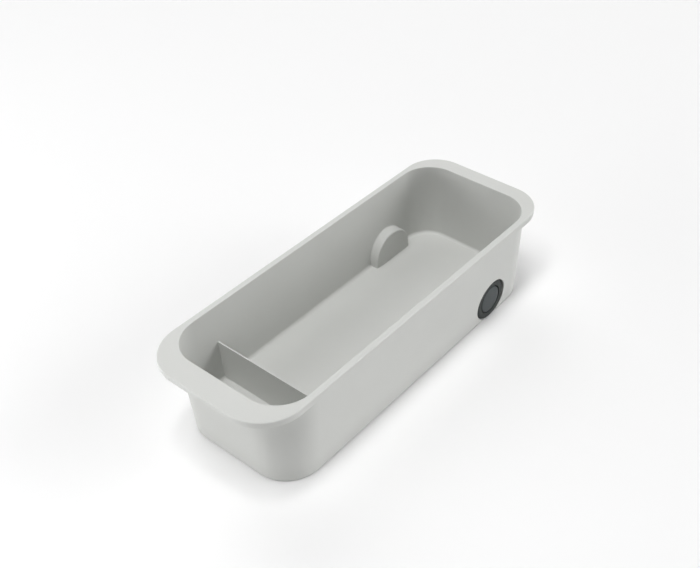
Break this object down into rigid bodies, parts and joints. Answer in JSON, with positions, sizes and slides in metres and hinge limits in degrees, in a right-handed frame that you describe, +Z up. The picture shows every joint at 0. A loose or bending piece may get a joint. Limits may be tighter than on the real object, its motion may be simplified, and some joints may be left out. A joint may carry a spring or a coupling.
{
  "type": "cupboard storage caddy",
  "caption": "Long open tub with drafted double walls, a wide pull lip, a low cross divider and small wheels set in its rear side walls.",
  "frame": {"origin": "on the floor, under the middle of the whole bounding box", "axes": "+Y along the tub towards its rear, where the wheels are; +X to the right seen from the front looking along +Y; +Z up"},
  "size_m": [0.18, 0.484, 0.1152],
  "materials": {
    "tub_plastic": "light warm grey, fine matte texture",
    "hub_plastic": "dark grey, satin",
    "cap_plastic": "dark grey, satin",
    "tyre_rubber": "dark grey, matte",
    "plated_steel": "zinc plated",
    "pad_rubber": "dark grey, matte"
  },
  "bodies": {
    "tub": {"tub": "tub_plastic", "axle_washer_left": "plated_steel", "axle_washer_right": "plated_steel", "axle_screw_left": "plated_steel", "axle_screw_right": "plated_steel", "front_pad_left": "pad_rubber", "front_pad_right": "pad_rubber"},
    "wheel_left": {"wheel_hub_left": "hub_plastic", "tyre_left": "tyre_rubber", "hub_cap_left": "cap_plastic"},
    "wheel_right": {"wheel_hub_right": "hub_plastic", "tyre_right": "tyre_rubber", "hub_cap_right": "cap_plastic"}
  },
  "joints": [
    {"name": "wheel_left_spin", "type": "hinge", "parent": "tub", "child": "wheel_left", "pos_m": [-0.0768, 0.1367, 0.0267], "axis": [1, 0, 0], "continuous": true},
    {"name": "wheel_right_spin", "type": "hinge", "parent": "tub", "child": "wheel_right", "pos_m": [0.0768, 0.1367, 0.0267], "axis": [1, 0, 0], "continuous": true}
  ]
}
